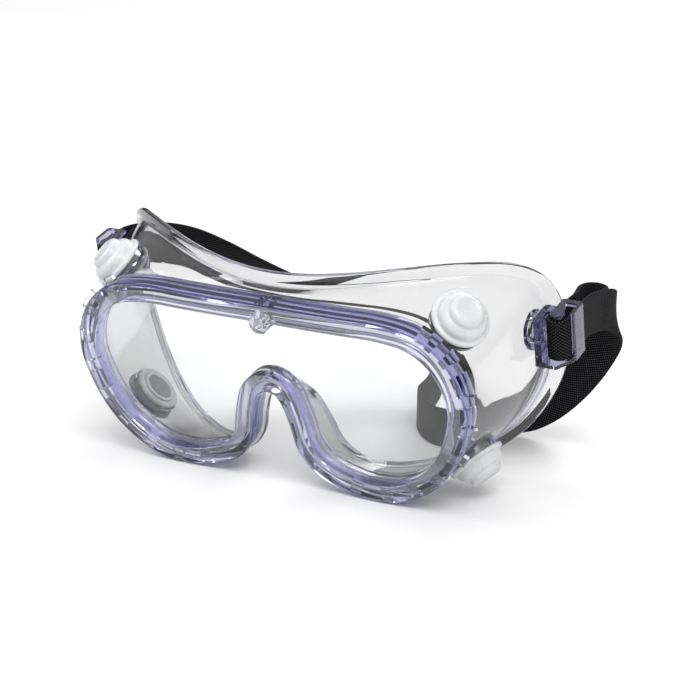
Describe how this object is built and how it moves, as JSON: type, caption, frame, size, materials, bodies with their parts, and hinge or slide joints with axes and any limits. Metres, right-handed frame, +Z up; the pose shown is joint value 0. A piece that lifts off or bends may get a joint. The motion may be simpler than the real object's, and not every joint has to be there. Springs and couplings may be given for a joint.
{
  "type": "safety goggles",
  "caption": "Chemical-splash safety goggles: soft clear frame, flat snap-in lens, indirect vent buttons, swivelling strap clips and a black elastic headband.",
  "frame": {"origin": "middle of the footprint on the table, under the standing goggles with their strap laid out behind", "axes": "+X to the wearer's left, +Y from the lens back towards the face, +Z up"},
  "size_m": [0.1926, 0.1246, 0.0844],
  "materials": {
    "clear_vinyl": "soft clear vinyl, faint violet tint in the thick edges",
    "lens": "clear polycarbonate, polished",
    "button": "clear moulded plastic",
    "vent_white": "milky translucent polyethylene",
    "clip_clear": "clear moulded plastic with a violet tint",
    "elastic": "black woven elastic with a fine raised weave",
    "thread": "black sewing thread"
  },
  "bodies": {
    "frame": {"frame_body": "clear_vinyl", "lens": "lens", "lens_button": "button", "vent_cap_upper_right": "vent_white", "vent_cap_upper_left": "vent_white", "vent_cap_lower_right": "vent_white", "vent_cap_lower_left": "vent_white", "vent_ring_upper_right": "vent_white", "vent_ring_upper_left": "vent_white", "vent_ring_lower_right": "vent_white", "vent_ring_lower_left": "vent_white", "clip_pivot_right": "clip_clear", "clip_pivot_left": "clip_clear"},
    "headband": {"strap_clip_right": "clip_clear", "strap_clip_left": "clip_clear", "strap": "elastic", "strap_stitching_right": "thread", "strap_stitching_left": "thread"}
  },
  "joints": [
    {"name": "headband_swivel", "type": "hinge", "parent": "frame", "child": "headband", "pos_m": [0, -0.01133, 0.05926], "axis": [1, 0, 0], "range_deg": [0, 40]}
  ]
}
